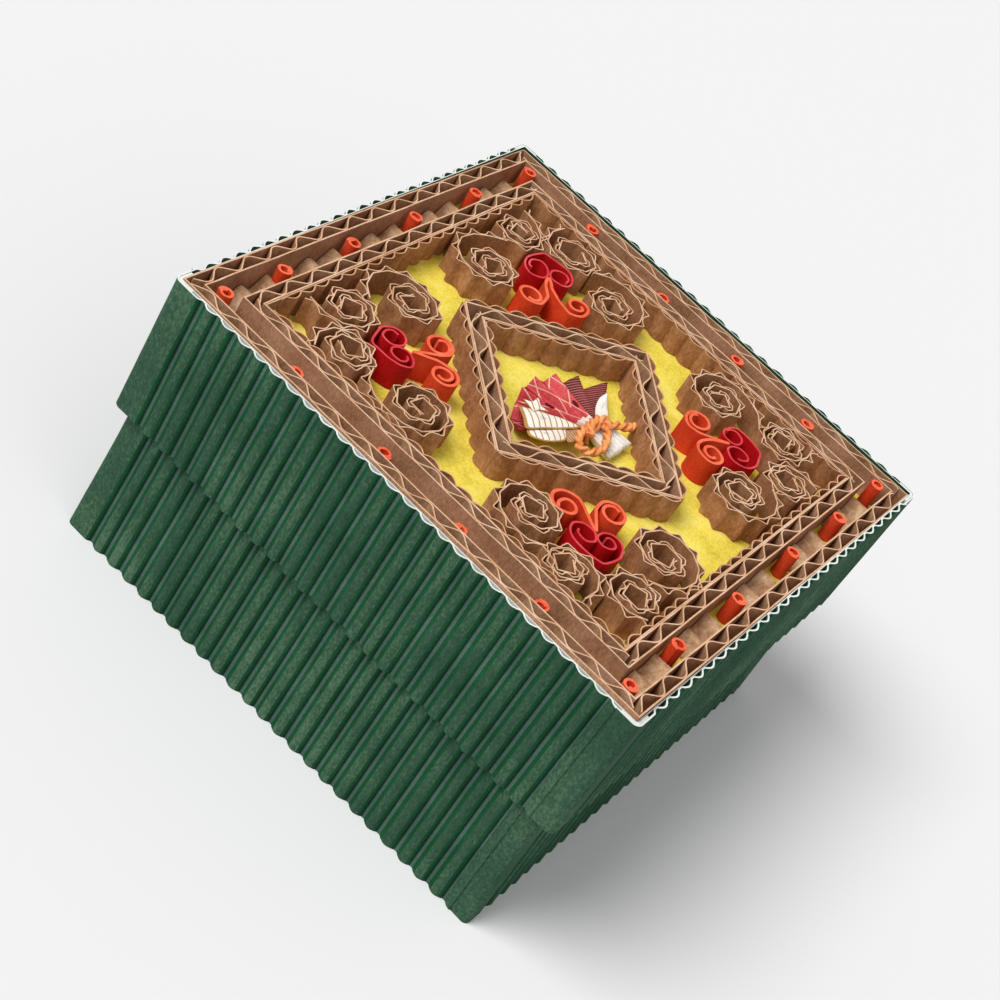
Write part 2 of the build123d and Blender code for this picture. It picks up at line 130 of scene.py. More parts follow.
def sheet(bm, path, thickness, low, high, left=0, right=0, rim=1, foot=1, closed=False, rows=1, place=None):
    """A thin sheet along a path; left and right are the material slots of its faces."""
    count = len(path)
    spans = count if closed else count - 1
    columns = []
    sharp = []
    for i, (x, y) in enumerate(path):
        a = unit(path[i - 1], path[i]) if closed or i else None
        b = unit(path[i], path[(i + 1) % count]) if closed or i < count - 1 else None
        a, b = a or b, b or a
        bend, middle = halfway(a, b)
        reach = thickness / 2 / max(cos(bend / 2), 0.55)
        nx, ny = -sin(middle) * reach, cos(middle) * reach
        z0 = low[i] if isinstance(low, (list, tuple)) else low
        z1 = high[i] if isinstance(high, (list, tuple)) else high
        column = []
        for side in (1, -1):
            line = []
            for j in range(rows + 1):
                point = (x + side * nx, y + side * ny, z0 + (z1 - z0) * j / rows)
                if place:
                    point = place(*point)
                line.append(bm.verts.new(Vector(point) * 0.001))
            column.append(line)
        columns.append(column)
        sharp.append(abs(bend) > 0.8)

    def face(corners, slot, smooth):
        made = bm.faces.new(corners)
        made.material_index = slot
        made.smooth = smooth
        return made

    for k in range(spans):
        here, there = columns[k], columns[(k + 1) % count]
        outer = left[k] if isinstance(left, (list, tuple)) else left
        inner = right[k] if isinstance(right, (list, tuple)) else right
        for j in range(rows):
            face((here[0][j], there[0][j], there[0][j + 1], here[0][j + 1]), outer, True)
            face((here[1][j + 1], there[1][j + 1], there[1][j], here[1][j]), inner, True)
        top = face((here[0][rows], there[0][rows], there[1][rows], here[1][rows]), rim, False)
        bottom = face((here[1][0], there[1][0], there[0][0], here[0][0]), foot, False)
        for edge in (top.edges[0], top.edges[2], bottom.edges[0], bottom.edges[2]):
            edge.smooth = False
    ends = () if closed else (columns[0], columns[-1])
    for column in ends:
        for j in range(rows):
            made = face((column[0][j], column[0][j + 1], column[1][j + 1], column[1][j]), rim, False)
            for edge in made.edges:
                edge.smooth = False
    for column, is_sharp in zip(columns, sharp):
        if is_sharp:
            for line in column:
                for j in range(rows):
                    edge = bm.edges.get((line[j], line[j + 1]))
                    if edge:
                        edge.smooth = False


def piece(name, body, materials, nodes, bm):
    """Turns gathered sheets into one object that rides on a body."""
    bmesh.ops.recalc_face_normals(bm, faces=bm.faces[:])
    mesh = bpy.data.meshes.new(name)
    bm.to_mesh(mesh)
    bm.free()
    for material in materials:
        mesh.materials.append(material)
    thing = bpy.data.objects.new(name, mesh)
    bpy.context.scene.collection.objects.link(thing)
    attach(thing, body)
    if nodes:
        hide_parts(*nodes)
    return thing


def along(start, end, places):
    """Plan points from (distance along a side, depth to the right of it)."""
    ux, uy = unit(start, end)
    return [(start[0] + ux * s + uy * d, start[1] + uy * s - ux * d) for s, d in places]


# The vector noise draws its offsets from the clock unless it is seeded.
noise.seed_set(1)


def ripple(x, y, z, size, amount):
    """A small seeded displacement of a point, in millimetres."""
    shift = noise.noise_vector(Vector((x, y, z)) / size)
    return x + shift.x * amount, y + shift.y * amount, z + shift.z * amount


green = paper("green_paper", ("1a3627", "345640", "627f67"), grain=0.00045, mottle=0.02, stretch=(1, 1, 0.6))
green_valley = paper("green_valley", ("2e4c42", "465f55", "62786c"), grain=0.0003)
# Painted shade: darker greens for the flutes' steep slopes and flanks, standing in for the shade in them.
green_slope_painted_shade = paper("green_slope_painted_shade", ("06200f", "0d3420", "1c4c34"), grain=0.0004)
green_flank_painted_shade = paper("green_flank_painted_shade", ("06341a", "0e4a2a", "205c3c"), grain=0.0004)
green_inside = paper("green_inside", ("0b2f20", "124030", "1d5240"), grain=0.0004)
white_core = paper("white_paper_core", ("cfd6cf", "e4e8e2", "f4f5f1"), grain=0.0003, mottle=0.004)
green_cut = paper("green_cut_edge", ("6f9482", "8fb0a0", "a9c4b6"), grain=0.0003, mottle=0.003)


flute_pitch = 3.47
flare_top = 24


def flute_height(share):
    """Height of the fluted sheet, 0 in a valley to 1 on a crest, across one flute."""
    distance = abs(2 * share - 1)
    if distance < 0.46:
        return 1 - 0.42 * (distance / 0.46) ** 2
    return 0.58 * (0.5 + 0.5 * cos(pi * min((distance - 0.46) / 0.4, 1)))


def flute_slot(share):
    """Paper of the fluted sheet across one flute: 2 valley, 0 crest, and 5 slope and 6 flank in darker
    greens that are painted shade.
    """
    if share < 0.075 or share > 0.9:
        return 2
    if share < 0.19:
        return 5
    return 6 if share < 0.29 or share > 0.68 else 0


def corner_arc(side, turn_radius, depth):
    """Places that round the far corner of a side, a depth inside its crests."""
    arc = turn_radius - depth
    turns = [radians(90 * step / 6) for step in range(7)]
    return [(side - turn_radius + arc * sin(turn), turn_radius - arc * cos(turn)) for turn in turns]


def green_wall(name, node, half, liner_half, valley, crest, band, low, high, fall, seed, turn_radius,
               shift, flare, rough_foot):
    """One wall of four sides: its fluted sheet, white corner fillers and its liner."""
    rng = random.Random(seed)
    bm = bmesh.new()
    side = 2 * crest
    deep = crest - valley
    pressed = 0.3 * deep
    flutes = round((side - 2 * band) / flute_pitch)
    pitch = (side - 2 * band) / flutes
    shares = (0, 0.04, 0.08, 0.12, 0.16, 0.2, 0.24, 0.3, 0.39, 0.5, 0.6, 0.69, 0.75, 0.79, 0.83, 0.87,
              0.91, 0.95)
    corners = ((-crest, crest), (crest, crest), (crest, -crest), (-crest, -crest))
    path, slots = [], []
    for k, start in enumerate(corners):
        edges = [band + i * pitch + rng.uniform(-0.22, 0.22) for i in range(flutes + 1)]
        places = [(turn_radius, pressed), (band - 1.4, pressed)]
        for share in shares[10:]:
            places.append((edges[0] - pitch * (1 - share), (1 - flute_height(share)) * deep))
        slots += [0] * len(places)
        for a, b in zip(edges, edges[1:]):
            tall = rng.uniform(0.9, 1.0)
            for share in shares:
                places.append((a + (b - a) * share, (1 - flute_height(share) * tall) * deep))
                slots.append(flute_slot(share))
        for share in shares[:8]:
            places.append((edges[-1] + pitch * share, (1 - flute_height(share)) * deep))
            slots.append(flute_slot(share))
        smooth_end = [(side - band + 1.4, pressed)] + corner_arc(side, turn_radius, pressed)
        slots += [0] * len(smooth_end)
        path += along(start, corners[(k + 1) % 4], places + smooth_end)

    def rim_height(x, y):
        """Top of the wall, which dips towards the front left corner."""
        return high - 0.03 - fall * (half - x) / (2 * half) * (0.65 - 0.35 * y / half)

    def lay(x, y, z):
        """A point of the wall, flared towards the foot, shifted and a little uneven."""
        spread = 1 + max(0.0, flare_top - z) / flare_top * flare
        return ripple(x * spread + shift, y * spread, z, 6.0, 0.04)

    lows = [low + rough_foot * (0.3 * noise.noise(Vector((x / 5, y / 5, seed))) + rng.uniform(0, 0.1))
            for x, y in path]
    highs = [rim_height(x, y) - 0.06 * abs(noise.noise(Vector((x / 9, y / 9, seed)))) for x, y in path]
    sheet(bm, path, 0.3, lows, highs, left=slots, rim=3, foot=4, closed=True, rows=7, place=lay)
    for k, start in enumerate(corners):
        end, last = corners[(k + 1) % 4], corners[(k + 2) % 4]
        depth = (pressed + 0.15 + crest - valley + 0.1) / 2
        fill = along(start, end, [(side - band + 2.4, depth)] + corner_arc(side, turn_radius, depth))
        fill += along(end, last, [(band - 2.4, depth)])
        sheet(bm, fill, deep - pressed - 0.14, low, [rim_height(x, y) - 0.06 for x, y in fill],
              left=3, right=3, rim=3, foot=4, rows=7, place=lay)
    middle = (liner_half + valley - 0.1) / 2
    inner = [(-middle, middle), (middle, middle), (middle, -middle), (-middle, -middle)]
    rims = [rim_height(x, y) - 0.03 for x, y in inner]
    sheet(bm, inner, valley - 0.1 - liner_half, low, rims, left=3, right=1, rim=3, foot=4, closed=True,
          rows=7, place=lay)
    return piece(name, node.split("_")[0],
                 (green, green_inside, green_valley, white_core, green_cut, green_slope_painted_shade, green_flank_painted_shade),
                 [node], bm)


# The base stands off its node's place towards -x and flares at its foot, so that
# its outline comes nearer to the photograph's.
green_wall("lid_wall_paper", "lid_wall", half=47.75, liner_half=46.55, valley=46.8, crest=47.54, band=6.0,
           low=26.75, high=53.98, fall=0.9, seed=3, turn_radius=1.3, shift=0.0, flare=0.0, rough_foot=1.0)
green_wall("base_wall_paper", "base_wall", half=45.45, liner_half=44.25, valley=44.5, crest=45.27, band=5.4,
           low=0.04, high=47.35, fall=0.0, seed=8, turn_radius=1.1, shift=-0.95, flare=0.016,
           rough_foot=0.12)

# Bottom card: grey board with visible fibres, kept as the CAD solid.
grey_card = paper("grey_card", ("7c7266", "948a7c", "aea596"), grain=0.0005, mottle=0.01)
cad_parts["base_floor"].data.materials.clear()
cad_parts["base_floor"].data.materials.append(grey_card)

# Yellow card of the lid: thin card that lies a little uneven, with olive specks.
# It fills the square inside the wall, and all the decoration stands on its face.
yellow = paper("yellow_card", ("c2ae38", "ecd852", "faee8a"), grain=0.0005, mottle=0.005, depth=0.00008)
half_square = 46.5
card_top = 48.4
bm = bmesh.new()
cells = 46
levels = {}
for i in range(cells + 1):
    for j in range(cells + 1):
        x = -half_square + 2 * half_square * i / cells
        y = -half_square + 2 * half_square * j / cells
        lift = 0.12 * noise.noise(Vector((x / 7, y / 7, 4.0)))
        levels[i, j] = bm.verts.new(Vector((x, y, 48.28 + lift)) * 0.001)
        levels[i, j, 0] = bm.verts.new(Vector((x, y, 47.45)) * 0.001)
for i in range(cells):
    for j in range(cells):
        for key in ((), (0,)):
            corners = [levels[(a, b) + key] for a, b in ((i, j), (i + 1, j), (i + 1, j + 1), (i, j + 1))]
            bm.faces.new(corners).smooth = True
for k in range(cells):
    sides = (((k, 0), (k + 1, 0)), ((k, cells), (k + 1, cells)),
             ((0, k), (0, k + 1)), ((cells, k), (cells, k + 1)))
    for a, b in sides:
        bm.faces.new((levels[a], levels[b], levels[b + (0,)], levels[a + (0,)]))
piece("yellow_card_sheet", "lid", (yellow,), ["lid_panel"], bm)

# Kraft papers of the frames, linings and coils: brown fibrous faces, and cut
# edges that are paler and pinker where the knife bared the core.
kraft = paper("kraft_paper", ("704227", "a0704c", "c4966f"), grain=0.0004, mottle=0.006,
              stretch=(1, 1, 0.5), depth=0.00008)
board = paper("frame_board_paper", ("7a5238", "ac8062", "cea486"), grain=0.0004, mottle=0.006,
              stretch=(1, 1, 0.5), depth=0.00008)
board_wave = paper("frame_board_wave", ("845a3e", "b48866", "d8b08e"), grain=0.00045, mottle=0.003,
                   stretch=(1, 1, 0.5))
kraft_edge = paper("kraft_cut_edge", ("b8845c", "dcb08c", "f4d6bc"), grain=0.0003, mottle=0.003)
kraft_wave = paper("kraft_wave", ("7a4a2c", "a8754f", "cc9d74"), grain=0.00045, mottle=0.004,
                   stretch=(1, 1, 0.5))
lining_edge = paper("lining_cut_edge", ("a8744e", "d09c74", "ecc4a0"), grain=0.0003, mottle=0.003)


def zigzag(contacts, length, shallow, deep, first_deep=False):
    """A wave as (along, depth): it touches the shallow rail at the contacts."""
    stops = sorted(contacts)
    pitch = (stops[-1] - stops[0]) / (len(stops) - 1)
    marks = [(stops[0] - pitch / 2, deep)]
    for a, b in zip(stops, stops[1:] + [stops[-1] + pitch]):
        marks += [(a, shallow), ((a + b) / 2, deep)]
    marks.insert(0, (stops[0] - pitch, shallow))
    marks.append((stops[-1] + pitch, shallow))
    inward = 0.09 * (deep - shallow)
    places = []
    for s, d in marks:
        lean = inward if d == shallow else -inward
        for shift, share in ((-0.13, 1.6), (-0.06, 0.25), (0.0, 0.0), (0.06, 0.25), (0.13, 1.6)):
            places.append((s + shift * pitch, d + lean * share))
    kept = [(s, d) for s, d in places if 0.35 < s < length - 0.35]
    if first_deep:
        kept = [(s, shallow + deep - d) for s, d in kept]
    return kept


def moved(corners, depth):
    """A clockwise polygon moved inwards by a depth, mitred."""
    result = []
    for k, here in enumerate(corners):
        bend, middle = halfway(unit(corners[k - 1], here), unit(here, corners[(k + 1) % len(corners)]))
        reach = depth / cos(bend / 2)
        result.append((here[0] + sin(middle) * reach, here[1] - cos(middle) * reach))
    return result


def board_frame(name, node, corners, thickness, contacts, low, high, fall, seed, edges):
    """A frame of double-faced board on edge: two liner strips and a wave on each side."""
    rng = random.Random(seed)
    bm = bmesh.new()
    paper_thickness = 0.27
    half = paper_thickness / 2
    count = len(corners)
    for depth, drop in ((half, 0.0), (thickness - half, 0.05)):
        path = []
        for k, (cx, cy) in enumerate(moved(corners, depth)):
            before, here, after = corners[k - 1], corners[k], corners[(k + 1) % count]
            a, b = unit(before, here), unit(here, after)
            path += [(cx - a[0] * 0.6, cy - a[1] * 0.6), (cx, cy), (cx + b[0] * 0.6, cy + b[1] * 0.6)]
            far = hypot(after[0] - here[0], after[1] - here[1])
            steps = int(far / 3)
            for i in range(1, steps):
                s = (far - 2 * depth) * i / steps
                sway = 0.09 * noise.noise(Vector((cx + b[0] * s, cy + b[1] * s, seed)) / 5)
                path.append((cx + b[0] * s + b[1] * sway, cy + b[1] * s - b[0] * sway))
        highs = [high - drop - fall * (x + half_square) / (2 * half_square)
                 - 0.16 * abs(noise.noise(Vector((x / 6, y / 6, seed + depth)))) for x, y in path]
        sheet(bm, path, paper_thickness, low, highs, closed=True, rows=2,
              place=lambda x, y, z: ripple(x, y, z, 4.0, 0.05))
    for k in range(count):
        start, end = corners[k], corners[(k + 1) % count]
        length = hypot(end[0] - start[0], end[1] - start[1])
        marks, deep_first = contacts[k]
        marks = [m + rng.uniform(-0.12, 0.12) for m in marks]
        places = zigzag(marks, length - thickness * 0.2, paper_thickness + 0.12,
                        thickness - paper_thickness - 0.12, deep_first)
        near, far = thickness * 0.45, length - thickness * 0.45
        path = along(start, end, [(s, d) for s, d in places if near < s < far])
        highs = [high - 0.03 - fall * (x + half_square) / (2 * half_square)
                 - 0.22 * abs(noise.noise(Vector((x / 3, y / 3, seed + 7)))) for x, y in path]
        sheet(bm, path, 0.24, low, highs, left=2, right=2, rim=3, foot=1, rows=2,
              place=lambda x, y, z: ripple(x, y, z, 3.0, 0.05))
    return piece(name, "lid", (board, kraft_edge, board_wave, edges), [node], bm)


# Outer frame: the square of board inside the green wall, its waves touching the
# outer or the inner liner where the photograph shows it.
s = half_square
back = [x + s for x in (-39.2, -32.5, -25.8, -19.6, -12.8, -6.1, 0.2, 6.8, 13.3, 19.8, 26.0, 32.7,
                        38.9, 45.4)]
right = [s - y for y in (40.9, 34.4, 27.9, 21.4, 14.9, 8.4, 1.9, -4.7, -11.2, -17.7, -24.2, -30.7,
                        -37.2, -43.8)]
front = [s - x for x in (-42.5, -36.0, -29.6, -23.1, -16.6, -9.9, -3.4, 3.0, 9.5, 16.1, 22.9, 29.4,
                        36.1, 42.9)]
left = [y + s for y in (42.2, 35.5, 29.3, 22.6, 16.1, 9.5, 3.0, -3.5, -10.0, -16.5, -23.0, -29.5,
                        -36.0, -42.5)]
board_frame("outer_frame_board", "outer_frame", ((-s, s), (s, s), (s, -s), (-s, -s)), 2.55,
            ((back, False), (right, False), (front, True), (left, True)), card_top, 53.93, 0.5, 21,
            kraft_edge)

# Inner frame: the same board, one size smaller and a touch lower, set a little
# out of square.
tl, tr, br, bl = (-39.5, 39.9), (40.4, 39.8), (40.1, -40.1), (-39.8, -40.1)
back = [x - tl[0] for x in (-35.3, -29.0, -22.6, -16.2, -9.9, -3.2, 2.9, 9.4, 15.7, 22.6, 28.8, 35.6)]
right = [tr[1] - y for y in (35.3, 29.3, 23.6, 16.7, 9.8, 3.1, -3.5, -10.0, -16.2, -22.7, -29.2, -35.7)]
front = [br[0] - x for x in (-33.7, -27.1, -20.2, -13.6, -7.1, -0.7, 5.9, 12.4, 18.7, 25.4, 31.9)]
left = [y - bl[1] for y in (35.8, 29.5, 23.2, 16.7, 10.2, 3.5, -2.8, -9.3, -16.4, -22.9, -29.6, -35.1)]
board_frame("inner_frame_board", "inner_frame", (tl, tr, br, bl), 2.5,
            ((back, False), (right, False), (front, True), (left, False)), card_top, 53.5, 0.0, 22,
            kraft_edge)


# Linings: single-face kraft strip glued along a frame, its flutes standing off
# it as rounded ridges.
def ridge(share):
    """Height of a kraft flute across its pitch, from valley to valley."""
    lift = 1 - abs(2 * share - 1)
    return sin(lift * pi / 2) ** 0.95


def lining(bm, start, end, bumps, pitch, height, low, high, seed):
    """A liner strip and a wave along one side; positive height stands to the right."""
    rng = random.Random(seed)
    length = hypot(end[0] - start[0], end[1] - start[1])
    way = 1 if height > 0 else -1
    liner = along(start, end, [(s, 0.12 * way) for s in (0.2, length / 2, length - 0.2)])
    sheet(bm, liner, 0.2, low, high - 0.1)
    valleys = [(a + b) / 2 for a, b in zip(bumps, bumps[1:])]
    valleys = [bumps[0] - pitch / 2] + valleys + [bumps[-1] + pitch / 2]
    places = [(max(0.2, valleys[0] - pitch * 0.3), 0.31 * way)]
    for a, b in zip(valleys, valleys[1:]):
        tall = abs(height) * rng.uniform(0.9, 1.02) - 0.41
        lean = rng.uniform(-0.06, 0.06)
        for k in range(10):
            share = k / 10
            skew = share + lean * sin(pi * share)
            places.append((a + (b - a) * skew, way * (0.31 + tall * ridge(share))))
    places.append((valleys[-1], 0.31 * way))
    places.append((min(length - 0.2, valleys[-1] + pitch * 0.3), 0.31 * way))
    path = along(start, end, places)
    highs = [high - 0.2 * abs(noise.noise(Vector((x / 3, y / 3, seed)))) for x, y in path]
    sheet(bm, path, 0.22, low, highs, left=2, right=2, rim=3, foot=1, rows=2,
          place=lambda x, y, z: ripple(x, y, z, 3.0, 0.06))


bm = bmesh.new()
tl, tr, br, bl = (-37.0, 37.4), (37.9, 37.3), (37.6, -37.6), (-37.3, -37.6)
for k, (start, end, first, last, count) in enumerate((
        (tl, tr, -30.4 - tl[0], 35.3 - tl[0], 20), (tr, br, tr[1] - 32.4, tr[1] + 34.3, 20),
        (br, bl, br[0] - 36.0, br[0] + 34.1, 21), (bl, tl, -36.0 - bl[1], 33.1 - bl[1], 21))):
    bumps = [first + (last - first) * i / (count - 1) for i in range(count)]
    lining(bm, start, end, bumps, (last - first) / (count - 1), 1.3, card_top, 53.4, 31 + k)
piece("inner_frame_lining_paper", "lid", (kraft, kraft_edge, kraft_wave, lining_edge),
      ["inner_frame_lining"], bm)


# Diamond: a frame of coarser double-faced board on its corner, with a fluted
# lining outside and another inside.
diamond = [(-24.1, -1.6), (-1.1, 23.6), (24.0, 0.1), (-0.3, -24.2)]
diamond_thickness = 2.9
diamond_pitch = 7.75
spans = []
for k in range(4):
    a, b = diamond[k], diamond[(k + 1) % 4]
    length = hypot(b[0] - a[0], b[1] - a[1])
    spans.append(([length / 2 + (i - 1.5) * diamond_pitch for i in range(4)], False))
board_frame("diamond_board", "diamond_core", diamond, diamond_thickness, spans,
            card_top, 53.5, 0.0, 23, kraft_edge)
bm = bmesh.new()
for k in range(4):
    start, end = diamond[k], diamond[(k + 1) % 4]
    length = hypot(end[0] - start[0], end[1] - start[1])
    bumps = [length / 2 + (i - 4) * 3.62 for i in range(9)]
    lining(bm, start, end, bumps, 3.6, -1.36 if k < 3 else -1.1, card_top, 53.45, 41 + k)
piece("diamond_outer_lining_paper", "lid", (kraft, kraft_edge, kraft_wave, lining_edge),
      ["diamond_outer_lining"], bm)
bm = bmesh.new()
inner = moved(diamond, diamond_thickness)
for k in range(4):
    start, end = inner[k], inner[(k + 1) % 4]
    length = hypot(end[0] - start[0], end[1] - start[1])
    bumps = [length / 2 + (i - 3) * 3.5 for i in range(7)]
    lining(bm, start, end, bumps, 3.5, 1.25, card_top, 53.45, 51 + k)
piece("diamond_inner_lining_paper", "lid", (kraft, kraft_edge, kraft_wave, lining_edge),
      ["diamond_inner_lining"], bm)


# Coils: strips of single-face kraft board rolled flutes outwards. Each row is
# the middle and the liner's angle and radius from the inner end outwards.
def even(path, spacing):
    """A path cut again at an even spacing."""
    total = sum(hypot(b[0] - a[0], b[1] - a[1]) for a, b in zip(path, path[1:]))
    count = max(2, round(total / spacing))
    result, travelled = [path[0]], 0.0
    for a, b in zip(path, path[1:]):
        step = hypot(b[0] - a[0], b[1] - a[1])
        while len(result) < count and travelled + step >= total / count * len(result):
            share = (total / count * len(result) - travelled) / step
            result.append((a[0] + (b[0] - a[0]) * share, a[1] + (b[1] - a[1]) * share))
        travelled += step
    return result + [path[-1]]


def turning(x, y, turns, step=6):
    """Points of a spiral through (angle, radius) pairs."""
    path = []
    for (a, ra), (b, rb) in zip(turns, turns[1:]):
        steps = max(1, round(abs(b - a) / step))
        for k in range(steps):
            share = k / steps
            angle, radius = radians(a + (b - a) * share), ra + (rb - ra) * share
            path.append((x + radius * cos(angle), y + radius * sin(angle)))
    angle, radius = radians(turns[-1][0]), turns[-1][1]
    return path + [(x + radius * cos(angle), y + radius * sin(angle))]


coils = (
    (-22.7, 31.1, ((166, 2.29), (90, 2.14), (0, 2.23), (-90, 2.54), (-180, 3.04), (-270, 3.84),
     (-360, 3.84), (-450, 4.22), (-540, 5.21), (-581, 6.94))),
    (-30.5, 24.7, ((100, 1.86), (180, 1.92), (270, 2.60), (360, 2.67), (450, 2.98), (540, 3.84),
     (630, 4.09), (720, 3.22), (810, 4.59), (870, 6.14))),
    (-10.6, 27.8, ((20, 1.05), (90, 1.55), (180, 2.85), (270, 2.85), (360, 2.85), (450, 3.47), (540, 4.09),
     (630, 4.90), (720, 4.09), (810, 7.01), (832, 7.75), (875, 8.12))),
    (-29.0, 10.7, ((-125, 1.61), (-180, 1.55), (-270, 1.86), (-360, 2.54), (-450, 2.79), (-540, 3.53),
     (-630, 4.53), (-720, 4.53), (-810, 4.90), (-900, 6.01), (-937, 6.82), (-951, 8.49), (-984, 9.36))),
    (12.3, 27.6, ((183, 2.17), (90, 1.86), (0, 2.17), (-90, 2.36), (-180, 3.35), (-270, 3.84),
     (-360, 3.47), (-450, 4.22), (-540, 5.15), (-630, 7.32), (-676, 7.69), (-700, 8.99))),
    (25.6, 31.1, ((-39, 1.24), (0, 1.86), (90, 2.29), (180, 2.23), (270, 2.39), (360, 2.98), (450, 3.66),
     (540, 4.09), (630, 4.09), (663, 3.53), (720, 4.90), (752, 7.01))),
    (32.3, 23.2, ((-16, 1.80), (-90, 3.04), (-180, 3.10), (-270, 3.22), (-360, 3.10), (-450, 4.90),
     (-540, 4.46), (-593, 5.15), (-630, 5.39), (-666, 6.32))),
    (27.9, 10.7, ((-63, 1.67), (0, 2.42), (90, 2.42), (180, 2.48), (270, 2.67), (360, 3.84), (450, 4.03),
     (540, 4.15), (630, 4.77), (684, 6.32), (720, 7.50), (783, 8.37))),
    (29.2, -13.7, ((106, 1.98), (0, 1.80), (-90, 2.11), (-180, 2.42), (-270, 3.04), (-360, 4.09),
     (-450, 3.66), (-540, 4.09), (-630, 5.77), (-720, 6.51), (-751, 6.57), (-798, 7.94))),
    (32.3, -25.8, ((-119, 1.49), (0, 2.36), (90, 2.17), (180, 2.48), (270, 3.60), (360, 3.53), (450, 3.47),
     (540, 4.34), (630, 4.59), (675, 6.08))),
    (24.3, -31.8, ((-3, 1.80), (-90, 2.60), (-180, 2.29), (-270, 2.60), (-360, 2.60), (-450, 3.97),
     (-540, 4.22), (-630, 3.35), (-720, 4.22), (-767, 5.83))),
    (12.8, -28.7, ((154, 2.11), (180, 1.98), (270, 2.48), (360, 2.17), (450, 2.36), (540, 2.98),
     (630, 3.41), (720, 4.03), (810, 4.34), (900, 5.15), (990, 6.39), (1029, 6.82), (1057, 7.19))),
    (-27.9, -12.3, ((98, 2.17), (180, 2.36), (270, 2.29), (360, 1.98), (450, 2.48), (540, 3.84),
     (630, 4.59), (720, 3.72), (810, 5.15), (900, 6.63), (943, 7.44), (954, 7.63))),
    (-32.4, -22.5, ((4, 1.86), (-90, 1.86), (-180, 2.17), (-270, 2.67), (-360, 2.79), (-450, 2.98),
     (-540, 3.22), (-630, 3.47), (-720, 4.03), (-768, 5.27), (-835, 6.26))),
    (-26.3, -32.1, ((-101, 2.36), (0, 2.42), (90, 2.17), (180, 2.29), (270, 3.35), (360, 4.15),
     (450, 4.40), (540, 4.03), (601, 4.71))),
    (-14.3, -29.6, ((-51, 1.98), (-90, 2.73), (-180, 2.67), (-270, 2.48), (-360, 2.48), (-450, 3.97),
     (-540, 3.72), (-630, 4.40), (-720, 5.77), (-810, 6.57), (-847, 6.88), (-886, 7.63))),
)
for number, (x, y, turns) in enumerate(coils, 1):
    rng = random.Random(100 + number)
    creases = even(turning(x, y, turns), 3.3)
    out = -1 if turns[-1][0] > turns[0][0] else 1
    liner, wave = [], []
    for i, here in enumerate(creases):
        before, after = creases[max(i - 1, 0)], creases[min(i + 1, len(creases) - 1)]
        a = unit(before, here) if i else unit(here, after)
        b = unit(here, after) if i < len(creases) - 1 else a
        middle = halfway(a, b)[1]
        ox, oy = -sin(middle) * out, cos(middle) * out
        tx, ty = cos(middle), sin(middle)
        if i:
            liner.append((here[0] - a[0] * 0.35, here[1] - a[1] * 0.35))
        liner.append((here[0] + ox * -0.04, here[1] + oy * -0.04))
        if i < len(creases) - 1:
            liner.append((here[0] + b[0] * 0.35, here[1] + b[1] * 0.35))
        tall = rng.uniform(0.88, 1.05) * min(0.95, 0.28 + 0.8 * i / len(creases))
        lean = rng.uniform(-0.14, 0.14)
        for shift, lift in ((-0.98, 0.12), (-0.6, 0.46), (-0.24, 0.92), (0.0, 1.0),
                            (0.24, 0.92), (0.6, 0.46), (0.98, 0.12)):
            if (i or shift >= 0) and (i < len(creases) - 1 or shift <= 0):
                reach = 0.2 + tall * lift - 0.12 * abs(shift)
                wave.append((here[0] + ox * reach + tx * (shift + lean),
                             here[1] + oy * reach + ty * (shift + lean)))
        if i < len(creases) - 1:
            nx, ny = -b[1] * out, b[0] * out
            mx, my = (here[0] + after[0]) / 2, (here[1] + after[1]) / 2
            for shift in (-0.28, 0.28):
                wave.append((mx + nx * 0.24 + b[0] * shift, my + ny * 0.24 + b[1] * shift))
    bm = bmesh.new()
    top = 53.5 - rng.uniform(0.0, 0.25)
    for path, thickness, paper_slot, rim_slot in ((liner, 0.24, 0, 1), (wave, 0.2, 2, 3)):
        highs = [top - 0.22 * abs(noise.noise(Vector((px / 3, py / 3, number)))) for px, py in path]
        sheet(bm, path, thickness, card_top, highs, left=paper_slot, right=paper_slot, rim=rim_slot, rows=2,
              place=lambda u, v, w: ripple(u, v, w, 4.0, 0.05))
    piece("kraft_coil_%02d_paper" % number, "lid",
          (kraft, kraft_edge, kraft_wave, kraft_edge), ["kraft_coil_%02d" % number], bm)


# Crimson scrolls: smooth thin card rolled into hearts, its cut edges pinker.
crimson = paper("crimson_card", ("94040a", "b80c12", "d41c22"), grain=0.0003, mottle=0.006,
                depth=0.00002, roughness=0.6)
crimson_edge = paper("crimson_cut_edge", ("bc2030", "d84048", "ea6868"), grain=0.00025, mottle=0.003)


def smooth(points, steps=4):
    """A smooth line through plan points."""
    ends = [points[0]] + list(points) + [points[-1]]
    path = []
    for p0, p1, p2, p3 in zip(ends, ends[1:], ends[2:], ends[3:]):
        for k in range(steps):
            t = k / steps
            path.append(tuple(0.5 * (2 * b + (c - a) * t + (2 * a - 5 * b + 4 * c - d) * t ** 2
                              + (3 * b - a - 3 * c + d) * t ** 3) for a, b, c, d in zip(p0, p1, p2, p3)))
    return path + [points[-1]]


